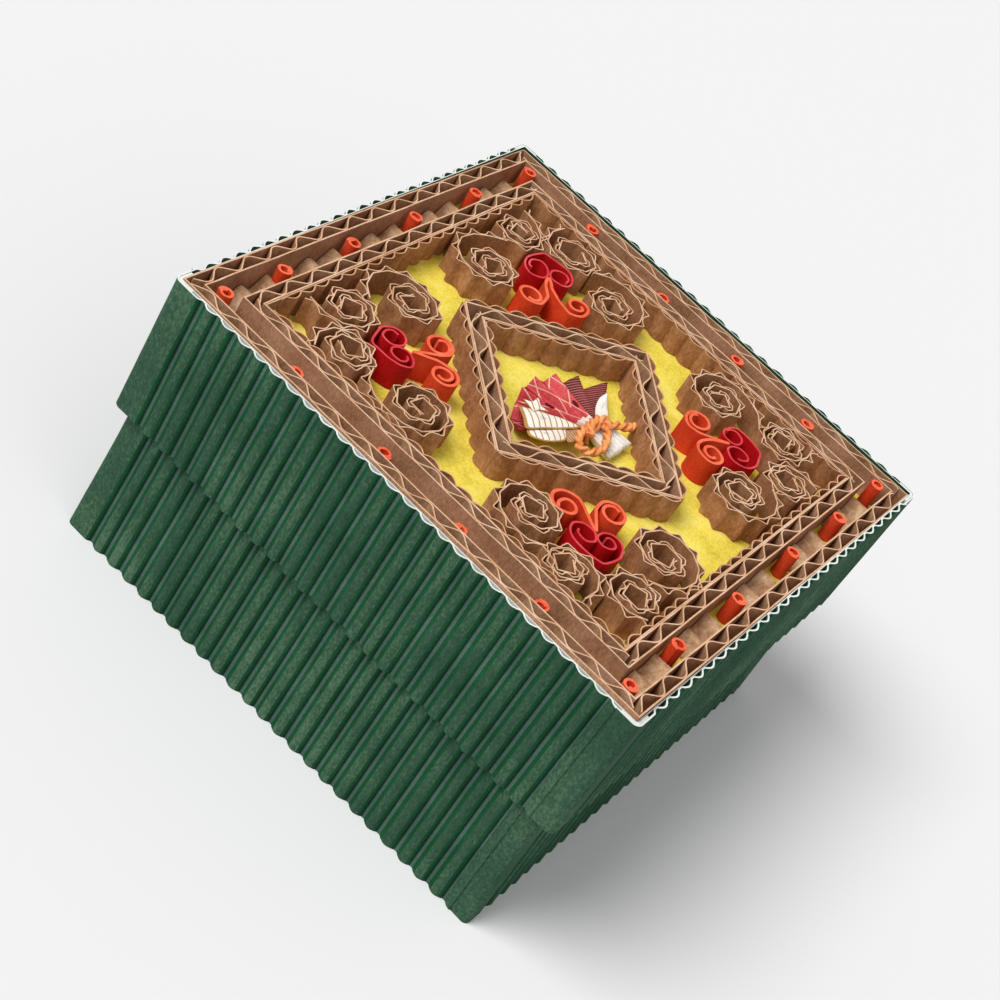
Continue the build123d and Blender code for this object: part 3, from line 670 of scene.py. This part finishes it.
hearts = (
    ((-19.9, 23.2), (-20.0, 24.2), (-20.7, 24.7), (-21.6, 24.8), (-22.6, 24.4), (-22.9, 23.5),
     (-22.8, 22.5), (-22.3, 21.8), (-21.1, 21.2), (-19.9, 21.5), (-19.1, 22.3), (-18.8, 23.6),
     (-19.4, 24.7), (-20.5, 25.4), (-21.7, 25.6), (-24.6, 24.7), (-25.7, 23.9), (-25.8, 22.7),
     (-25.8, 20.5), (-25.5, 19.2), (-25.1, 18.3), (-24.3, 17.6), (-23.5, 17.3), (-22.4, 17.7),
     (-21.6, 18.7), (-21.3, 19.8), (-21.6, 20.7), (-22.3, 21.4), (-23.2, 21.7), (-24.1, 21.2),
     (-24.5, 20.3), (-24.4, 19.2), (-23.8, 18.7), (-23.2, 18.6), (-22.6, 18.8), (-22.3, 19.3)),
    ((19.7, 24.1), (19.9, 24.8), (20.8, 25.3), (21.7, 25.3), (22.9, 24.5), (23.0, 23.5), (22.6, 22.6),
     (22.0, 21.9), (21.4, 21.5), (20.4, 21.2), (19.4, 21.5), (18.6, 22.4), (18.3, 23.5), (18.7, 24.7),
     (19.6, 25.6), (20.8, 26.1), (22.1, 26.2), (23.9, 25.9), (25.4, 25.3), (25.7, 24.2), (26.2, 22.3),
     (26.5, 20.5), (25.9, 19.1), (24.7, 18.2), (23.2, 17.8), (21.9, 18.2), (21.3, 19.1), (21.1, 20.1),
     (21.5, 21.0), (22.3, 21.5), (23.2, 21.7), (24.2, 21.3), (24.8, 20.5), (25.0, 19.8), (24.6, 19.0),
     (24.0, 18.7), (23.4, 18.6)),
    ((23.2, -18.9), (24.1, -19.2), (24.6, -20.1), (24.4, -21.2), (23.7, -21.9), (22.8, -22.1),
     (21.9, -21.8), (21.3, -21.0), (21.2, -20.1), (21.6, -19.2), (22.4, -18.7), (23.4, -18.6),
     (24.7, -19.0), (25.5, -19.8), (25.7, -21.0), (25.5, -22.6), (25.1, -24.1), (24.8, -25.0),
     (24.3, -25.6), (23.0, -26.1), (21.5, -26.6), (20.7, -26.7), (19.3, -26.3), (18.4, -25.5),
     (17.8, -24.1), (18.0, -22.9), (18.8, -21.8), (19.8, -21.5), (20.9, -21.8), (21.7, -22.6),
     (21.8, -23.5), (21.5, -24.4), (20.6, -25.1), (19.7, -24.8), (19.2, -24.3), (19.1, -23.9)),
    ((-24.1, -18.9), (-24.8, -19.1), (-25.2, -20.1), (-25.1, -21.1), (-24.3, -21.7), (-23.6, -21.9),
     (-22.7, -21.4), (-22.0, -20.6), (-21.9, -19.5), (-22.3, -18.5), (-23.3, -17.8), (-24.2, -17.6),
     (-25.4, -18.0), (-26.4, -18.9), (-26.8, -20.1), (-26.9, -21.7), (-26.8, -23.2), (-26.5, -24.8),
     (-26.2, -25.5), (-25.2, -25.9), (-23.6, -26.2), (-22.4, -26.2), (-20.8, -25.6), (-19.9, -24.8),
     (-19.4, -23.7), (-19.6, -22.6), (-20.5, -21.7), (-21.4, -21.4), (-22.4, -21.5), (-23.0, -22.3),
     (-23.2, -23.3), (-22.7, -24.1), (-21.8, -24.5), (-21.0, -24.3), (-20.6, -23.5), (-20.8, -22.7),
     (-21.3, -22.5)),
)
for number, points in enumerate(hearts, 1):
    bm = bmesh.new()
    path = smooth(points)
    highs = [53.45 - 0.3 * abs(noise.noise(Vector((x / 4, y / 4, number)))) for x, y in path]
    sheet(bm, path, 0.38, card_top, highs, rows=3, place=lambda x, y, z: ripple(x, y, z, 5.0, 0.08))
    piece("crimson_scroll_%d_card" % number, "lid", (crimson, crimson_edge),
          ["crimson_scroll_%d" % number], bm)

# Orange scrolls: thicker card folded in two, each leg rolled at its end.
orange = paper("orange_card", ("b8280e", "da4422", "f05e38"), grain=0.0003, mottle=0.006,
               depth=0.00003, roughness=0.65)
orange_edge = paper("orange_cut_edge", ("dc4a2c", "f06a48", "fc8a66"), grain=0.00025, mottle=0.003)
legs = (
    ((((-20.5, 19.4), (-19.0, 18.6), (-17.4, 17.6), (-16.2, 16.7)), -14.5, 18.3,
      ((270, 2.17), (360, 2.17), (450, 2.17), (540, 2.05), (630, 1.67), (720, 1.55), (776, 1.12))),
     (((-20.5, 19.4), (-19.0, 17.6), (-18.0, 16.4), (-17.4, 15.3)), -19.3, 13.4,
      ((0, 2.29), (-90, 2.17), (-180, 2.23), (-270, 1.92), (-360, 1.36), (-450, 1.05), (-540, 1.12),
       (-579, 1.18)))),
    ((((20.7, 20.8), (19.8, 20.6), (18.5, 19.8), (17.3, 18.7), (16.0, 17.7)), 13.5, 19.5,
      ((270, 2.36), (180, 1.98), (90, 2.11), (0, 1.80), (-90, 1.67), (-170, 1.30))),
     (((20.7, 20.8), (19.8, 19.6), (19.0, 18.8), (18.2, 17.3), (17.5, 16.0)), 20.0, 13.5,
      ((180, 3.10), (270, 1.86), (360, 2.17), (450, 1.74), (540, 1.18), (630, 0.93), (712, 0.93)))),
    ((((20.5, -21.0), (19.7, -20.1), (18.8, -19.0), (17.6, -17.6), (16.8, -16.4)), 19.3, -15.0,
      ((180, 2.79), (90, 2.23), (0, 2.05), (-90, 1.80), (-180, 1.74), (-270, 1.61), (-315, 1.55))),
     (((20.5, -21.0), (19.1, -19.8), (17.6, -18.7), (16.1, -18.1)), 14.8, -20.7,
      ((90, 2.73), (180, 2.23), (270, 2.17), (360, 1.86), (450, 1.36), (540, 1.12), (635, 0.93)))),
    ((((-21.7, -20.7), (-21.2, -19.5), (-20.5, -18.3), (-19.5, -16.7), (-18.9, -15.5)), -22.0, -14.9,
      ((0, 3.29), (90, 3.04), (180, 1.61), (270, 1.55), (360, 1.43), (450, 1.30), (513, 1.61))),
     (((-21.7, -20.7), (-20.2, -19.6), (-18.6, -18.4), (-17.4, -17.7)), -15.6, -19.9,
      ((90, 2.42), (0, 2.29), (-90, 2.05), (-180, 1.92), (-270, 1.61), (-360, 1.49), (-375, 1.49)))),
)
for number, pair in enumerate(legs, 1):
    bm = bmesh.new()
    for stem, x, y, turns in pair:
        path = smooth(list(stem) + even(turning(x, y, turns), 0.9))
        highs = [53.5 - 0.25 * abs(noise.noise(Vector((px / 4, py / 4, number + 9)))) for px, py in path]
        sheet(bm, path, 0.56, card_top, highs, rows=3, place=lambda u, v, w: ripple(u, v, w, 5.0, 0.07))
    piece("orange_scroll_%d_card" % number, "lid", (orange, orange_edge),
          ["orange_scroll_%d" % number], bm)

# Orange tubes: card rolled a little over once, standing at slightly different
# heights in the channel.
tubes = (
    (-41.8, 41.6, -0.2), (-27.3, 41.9, -0.7), (-9.3, 41.9, -1.2), (7.9, 41.9, -0.9),
    (25.5, 41.8, -0.7), (42.3, 41.6, -0.7), (-42.0, -42.1, -0.5), (-28.1, -42.0, -0.25),
    (-9.0, -42.1, -0.7), (9.8, -41.9, -0.4), (27.0, -42.0, -0.7), (41.6, -41.9, -0.05),
    (-41.9, 25.5, -1.9), (-41.9, 7.1, -1.2), (-41.9, -8.7, -1.9), (-41.9, -24.9, -1.5),
    (42.1, 25.9, -0.7), (42.0, 7.9, -1.25), (41.9, -9.2, -0.5), (41.8, -25.8, -0.6),
)
for number, (x, y, drop) in enumerate(tubes, 1):
    rng = random.Random(200 + number)
    start = rng.uniform(0, 360)
    squash = rng.uniform(0.93, 1.0)
    path = []
    for k in range(46):
        angle = radians(start + 455 * k / 45)
        radius = 1.1 - 0.5 * max(0, (45 - k) / 45 - 0.2) * 1.1
        path.append((x + radius * cos(angle) * squash, y + radius * sin(angle) / squash))
    bm = bmesh.new()
    highs = [53.95 + drop - 0.12 * abs(noise.noise(Vector((px, py, number)))) for px, py in path]
    sheet(bm, path, 0.46, card_top, highs, rows=3, place=lambda u, v, w: ripple(u, v, w, 3.0, 0.05))
    piece("orange_tube_%02d_card" % number, "lid", (orange, orange_edge),
          ["orange_tube_%02d" % number], bm)

# Fluted strips in the back and front channels: kraft single-face board lying
# with two crests up, its right end cut straight down.
# The strips' kraft is a paler copy of the kraft wave paper: the kraft colour is real, and the extra
# lightness is painted light for the lit crests.
strip_painted_light = paper("channel_strip_face_painted_light", ("8a6040", "bc9470", "e4c8a6"), grain=0.0007, mottle=0.0022,
                   depth=0.00012)
for row, (middle, crests) in enumerate(((42.0, (-34.7, -18.0, -1.4, 15.0, 32.0)),
                                        (-42.0, (-36.3, -20.4, -2.3, 15.5, 32.0)))):
    for number, first in enumerate(crests, 1):
        rng = random.Random(300 + 10 * row + number)
        bm = bmesh.new()
        profile = []
        for k in range(41):
            u = -0.47 + 1.5 * k / 40
            lift = 0.5 + 0.5 * cos(2 * pi * u)
            tall = 2.05 + rng.uniform(-0.01, 0.01)
            profile.append((first + 6.4 * u, 48.55 + tall * lift ** 0.85))
        half = 1.72
        skew = rng.uniform(-0.03, 0.03)

        def lay(u, v, w, middle=middle, skew=skew):
            return ripple(u + (w - 0.5) * skew, middle + w, v, 4.0, 0.08)

        liner = [(first - 3.0, 48.5), (first + 3, 48.48), (first + 6.55, 48.5)]
        sheet(bm, profile, 0.24, -half, half, rows=4, place=lay)
        sheet(bm, liner, 0.2, -half, half, place=lay)
        piece("channel_strip_%d_%d" % (row + 1, number), "lid", (strip_painted_light, kraft_edge),
              None, bm)


# Fan: one sheet of patterned paper pleated and gathered under the cord. Its
# pleats are crimson with pale crossing lines and small dots, then maroon with
# fine stripes, and its foot is white. Every other crimson pleat is a darker copy
# of the crimson paper, which is painted shade.
def fan_paper(name, ground, lines, scale, turn, width, dots=None):
    """Patterned paper: thin lines across a ground, both ways when turn is set."""
    def pattern(tree, colour):
        uv = add(tree, "ShaderNodeTexCoord").outputs["UV"]
        for angle in turn:
            turned = add(tree, "ShaderNodeMapping", Vector=uv)
            turned.inputs["Rotation"].default_value = (0, 0, radians(angle))
            stripes = add(tree, "ShaderNodeTexWave", Vector=turned.outputs[0], Scale=scale, Distortion=0.6)
            stripes.inputs["Detail Scale"].default_value = 1.5
            limit = add(tree, "ShaderNodeMapRange", Value=stripes.outputs["Fac"])
            limit.inputs["From Min"].default_value = 1 - width
            limit.inputs["From Max"].default_value = 1 - width * 0.5
            mixed = add(tree, "ShaderNodeMix", {"data_type": "RGBA"})
            tree.links.new(limit.outputs[0], mixed.inputs[0])
            tree.links.new(colour, mixed.inputs[6])
            mixed.inputs[7].default_value = linear(lines)
            colour = mixed.outputs[2]
        if dots:
            cell = add(tree, "ShaderNodeTexVoronoi", Vector=uv, Scale=0.75)
            limit = add(tree, "ShaderNodeMapRange", Value=cell.outputs["Distance"])
            limit.inputs["From Min"].default_value = 0.15
            limit.inputs["From Max"].default_value = 0.13
            mixed = add(tree, "ShaderNodeMix", {"data_type": "RGBA"})
            tree.links.new(limit.outputs[0], mixed.inputs[0])
            tree.links.new(colour, mixed.inputs[6])
            mixed.inputs[7].default_value = linear(dots)
            colour = mixed.outputs[2]
        return colour
    return paper(name, ground, grain=0.0003, mottle=0.004, depth=0.00002, roughness=0.6, pattern=pattern)


fan_white = fan_paper("fan_white_gold", ("ddd6c8", "f0eae0", "fbf8f2"), "b98a4e", 0.8, (35,), 0.14)
fan_crimson = fan_paper("fan_crimson_lines", ("a8242c", "d04a50", "e87672"), "ecbca4", 0.33,
                        (35, 125), 0.016, "5c0a18")
# A darker copy of the crimson paper for alternate pleats: painted shade.
fan_painted_shade = fan_paper("fan_crimson_painted_shade", ("7c101c", "9e2430", "bc444c"), "d09080", 0.33,
                      (35, 125), 0.016, "4c0612")
fan_maroon = fan_paper("fan_maroon_stripes", ("4a0a12", "681422", "842236"), "a8705c", 2.6, (75,), 0.22)
fan_tan = fan_paper("fan_tan", ("9a7450", "b8906a", "cfae88"), "7c5434", 2.0, (10,), 0.2)
fan_back = paper("fan_back_white", ("dcd4c8", "efe9df", "fbf8f2"), grain=0.0003, mottle=0.005)
fan_gold = paper("fan_gold_outline", ("9c7038", "bc8e50", "d8b078"), grain=0.0003)
tips = (
    (-12.6, 0.8, 2.3), (-10.2, 3.6, 0.9), (-8.8, 4.8, 2.7), (-5.8, 5.7, 1.1), (-5.0, 6.4, 3.1),
    (-1.6, 6.9, 1.3), (-0.8, 6.8, 3.4), (2.3, 6.1, 1.5), (3.6, 5.5, 3.5), (5.2, 4.3, 1.4),
    (7.6, 3.3, 3.4), (8.8, 1.6, 1.3), (12.6, -0.1, 3.0),
)
rows = []
count = len(tips)
for share in (0.0, 0.34, 0.68):
    row = []
    for k, (x, y, z) in enumerate(tips):
        waist_x, waist_z = 1.9 + 4.6 * (k / (count - 1) - 0.5), 2.5 if k % 2 == 0 else 1.3
        droop = 0.35 * sin(pi * share)
        row.append((x + (waist_x - x) * share,
                    y + (-5.6 - y) * share + 0.25 * noise.noise(Vector((k, share * 3, 2.0))),
                    card_top + z + (waist_z - z) * share - droop))
    rows.append(row)
for middle_x, middle_y, width, low, high in ((1.9, -5.6, 4.6, 1.3, 2.5), (2.0, -8.2, 5.4, 0.9, 2.4),
                                             (2.2, -10.9, 7.0, 0.6, 2.1)):
    row = []
    for k in range(count):
        wander = 0.5 * noise.noise(Vector((k * 1.7, middle_y, 5.0)))
        row.append((middle_x + width * (k / (count - 1) - 0.5) + wander, middle_y + wander,
                    card_top + (high if k % 2 == 0 else low) + 0.3 * wander))
    rows.append(row)
bm = bmesh.new()
uv_layer = bm.loops.layers.uv.new("pattern")
steps_across, steps_down = 5, 6
# Slot 6, the darker crimson on every other pleat, is painted shade for the pleats turned from the light.
tints = (6, 1, 6, 1, 6, 1, 6, 1, 2, 2, 2, 2)
for k in range(count - 1):
    grid = {}
    for r in range(len(rows) - 1):
        for j in range(steps_down + (1 if r == len(rows) - 2 else 0)):
            for i in range(steps_across + 1):
                a, b = i / steps_across, j / steps_down
                top = Vector(rows[r][k]).lerp(Vector(rows[r][k + 1]), a)
                low = Vector(rows[r + 1][k]).lerp(Vector(rows[r + 1][k + 1]), a)
                point = top.lerp(low, b)
                bulge = 0.16 * sin(pi * a) * (1 if k % 2 else -1)
                point.z += bulge + 0.08 * noise.noise(point / 2.2)
                grid[r * steps_down + j, i] = (bm.verts.new(point * 0.001), (k + a, (r + b) * 0.9))
    tall = max(key[0] for key in grid)
    for j in range(tall):
        for i in range(steps_across):
            keys = ((j, i), (j + 1, i), (j + 1, i + 1), (j, i + 1))
            made = bm.faces.new([grid[key][0] for key in keys])
            made.smooth = True
            made.material_index = tints[k] if j < (14 if 2 < k < 9 else 17) else 4
            for loop, key in zip(made.loops, keys):
                loop[uv_layer].uv = grid[key][1]
bmesh.ops.remove_doubles(bm, verts=bm.verts[:], dist=0.00001)

# Petals: white leaves outlined in gold over the fan's lower left, a small star
# petal, a tan patch by the cord and a white petal at the right.
petals = (
    (0, 51.55, ((-9.5, 3.9), (-7.0, 2.2), (-5.4, -0.2), (-3.3, -2.2), (-2.0, -4.6), (-5.8, -3.2),
                (-9.6, -1.4), (-12.1, 0.0), (-10.9, 1.8))),
    (0, 51.05, ((-11.4, 0.3), (-8.5, -1.5), (-4.4, -3.3), (-6.5, -5.0), (-10.0, -4.0), (-11.9, -2.3),
                (-12.4, -0.9))),
    (3, 51.2, ((-5.3, -3.6), (-2.3, -4.7), (-3.6, -6.2), (-6.9, -5.5))),
    (0, 51.7, ((-7.4, 4.6), (-6.2, 3.4), (-4.6, 3.3), (-5.4, 1.9), (-5.2, 0.4), (-6.6, 1.4), (-8.2, 1.6),
               (-7.6, 3.0))),
    (4, 51.15, ((10.9, -1.5), (7.5, -3.9), (5.2, -5.4), (2.4, -5.1), (4.8, -3.0), (7.9, -1.7))),
)
for slot, level, outline in petals:
    edge = smooth(outline + outline[:1], 5)[:-1]
    cx, cy = sum(x for x, y in edge) / len(edge), sum(y for x, y in edge) / len(edge)
    rings = []
    for share in (0.02, 0.35, 0.65, 0.87, 1.0):
        ring = []
        for x, y in edge:
            px, py = cx + (x - cx) * share, cy + (y - cy) * share
            lift = 0.35 * (1 - share ** 2) + 0.25 * noise.noise(Vector((px / 2.5, py / 2.5, level)))
            ring.append((bm.verts.new(Vector((px, py, level + lift)) * 0.001), (px * 0.35, py * 0.35)))
        rings.append(ring)
    for number, (near, far) in enumerate(zip(rings, rings[1:])):
        for k in range(len(edge)):
            corners = (near[k], near[(k + 1) % len(edge)], far[(k + 1) % len(edge)], far[k])
            made = bm.faces.new([corner[0] for corner in corners])
            made.smooth = True
            made.material_index = 5 if number == 3 and slot == 0 else slot
            for loop, corner in zip(made.loops, corners):
                loop[uv_layer].uv = corner[1]
fan = piece("paper_fan_sheet", "lid",
            (fan_white, fan_crimson, fan_maroon, fan_tan, fan_back, fan_gold, fan_painted_shade), ["paper_fan"], bm)
solid = fan.modifiers.new("paper thickness", "SOLIDIFY")
solid.thickness = 0.00018
solid.offset = -1
solid.use_rim = True

# Cord: two orange strands twisted together, over the waist of the fan, with a
# loop to the left and a tail to the right.
cord_orange = paper("cord_strands", ("c9703c", "f09a58", "ffc48a"), grain=0.00018, mottle=0.002,
                    depth=0.00008, roughness=0.7)


def strand(bm, path, radius, offset, turns, phase, sides=8):
    """One strand of a twisted cord along a path in space."""
    rings = []
    travelled = 0.0
    for i, here in enumerate(path):
        before, after = path[max(i - 1, 0)], path[min(i + 1, len(path) - 1)]
        way = (after - before).normalized()
        if i:
            travelled += (here - path[i - 1]).length
        side = way.cross(Vector((0, 0, 1)))
        side = side.normalized() if side.length > 0.1 else Vector((0, 1, 0))
        up = side.cross(way).normalized()
        angle = travelled * turns + phase
        centre = here + (side * cos(angle) + up * sin(angle)) * offset
        ring = []
        for k in range(sides):
            around = 2 * pi * k / sides
            ring.append(bm.verts.new((centre + (side * cos(around) + up * sin(around)) * radius) * 0.001))
        rings.append(ring)
    for a, b in zip(rings, rings[1:]):
        for k in range(sides):
            bm.faces.new((a[k], a[(k + 1) % sides], b[(k + 1) % sides], b[k])).smooth = True
    bm.faces.new(rings[0][::-1])
    bm.faces.new(rings[-1])


def curve(points, steps=14):
    """A smooth line through points in space."""
    return [Vector(p) for p in smooth(points, steps)]


z = 51.75
routes = (
    ((-1.0, -6.1, 49.2), (-0.6, -6.0, 50.9), (1.9, -5.6, z), (4.3, -6.1, 50.9), (4.7, -6.2, 49.2)),
    ((2.2, -6.3, z), (0.7, -5.2, z + 0.1), (-2.0, -5.1, z), (-4.6, -5.8, z - 0.2), (-6.0, -7.3, z - 0.4),
     (-4.8, -9.0, z - 0.5), (-2.2, -9.4, z - 0.3), (0.2, -8.5, z), (1.6, -7.0, z + 0.3)),
    ((-2.4, -6.6, z), (-0.8, -5.3, z + 0.5), (1.4, -5.1, z + 0.6), (2.9, -5.9, z + 0.4), (2.2, -7.5, z)),
    ((2.4, -6.3, z), (4.6, -7.4, z), (6.6, -8.6, z - 0.3), (8.8, -8.8, z - 0.8)),
)
bm = bmesh.new()
for route in routes:
    path = curve(route)
    for phase in (0.0, pi):
        strand(bm, path, 0.44, 0.36, 2.0, phase)
piece("cord_bow_strands", "lid", (cord_orange,), ["cord_bow"], bm)

# Studio: a pale floor, one broad soft sun from the back left, a weaker fill from
# the camera's side, and an even surround that fills the shade.
bm = bmesh.new()
half = 3.0
bm.faces.new([bm.verts.new((x * half, y * half, 0.0)) for x, y in ((-1, -1), (1, -1), (1, 1), (-1, 1))])
mesh = bpy.data.meshes.new("floor")
bm.to_mesh(mesh)
bm.free()
floor = bpy.data.objects.new("floor", mesh)
floor_paint = bpy.data.materials.new("pale_floor")
floor_paint.use_nodes = True
floor_shader = floor_paint.node_tree.nodes["Principled BSDF"]
floor_shader.inputs["Base Color"].default_value = linear("e6e6e6")
floor_shader.inputs["Roughness"].default_value = 0.9
floor_shader.inputs["Specular IOR Level"].default_value = 0.1
mesh.materials.append(floor_paint)
bpy.context.scene.collection.objects.link(floor)

for name, place, spread, power in (("key", (-0.62, 0.56, 1.3), 0.6, 2.62),
                                   ("fill", (-0.5, -0.6, 0.9), 1.2, 0.55)):
    light = bpy.data.lights.new(name, "SUN")
    light.angle = spread
    light.energy = power
    lamp = bpy.data.objects.new(name, light)
    lamp.location = place
    lamp.rotation_euler = (-Vector(place)).to_track_quat("-Z", "Y").to_euler()
    bpy.context.scene.collection.objects.link(lamp)
world = bpy.data.worlds.new("surround")
world.use_nodes = True
world.node_tree.nodes["Background"].inputs["Color"].default_value = (1.0, 1.0, 1.0, 1.0)
world.node_tree.nodes["Background"].inputs["Strength"].default_value = 0.32
bpy.context.scene.world = world
bpy.context.scene.view_settings.view_transform = "Standard"
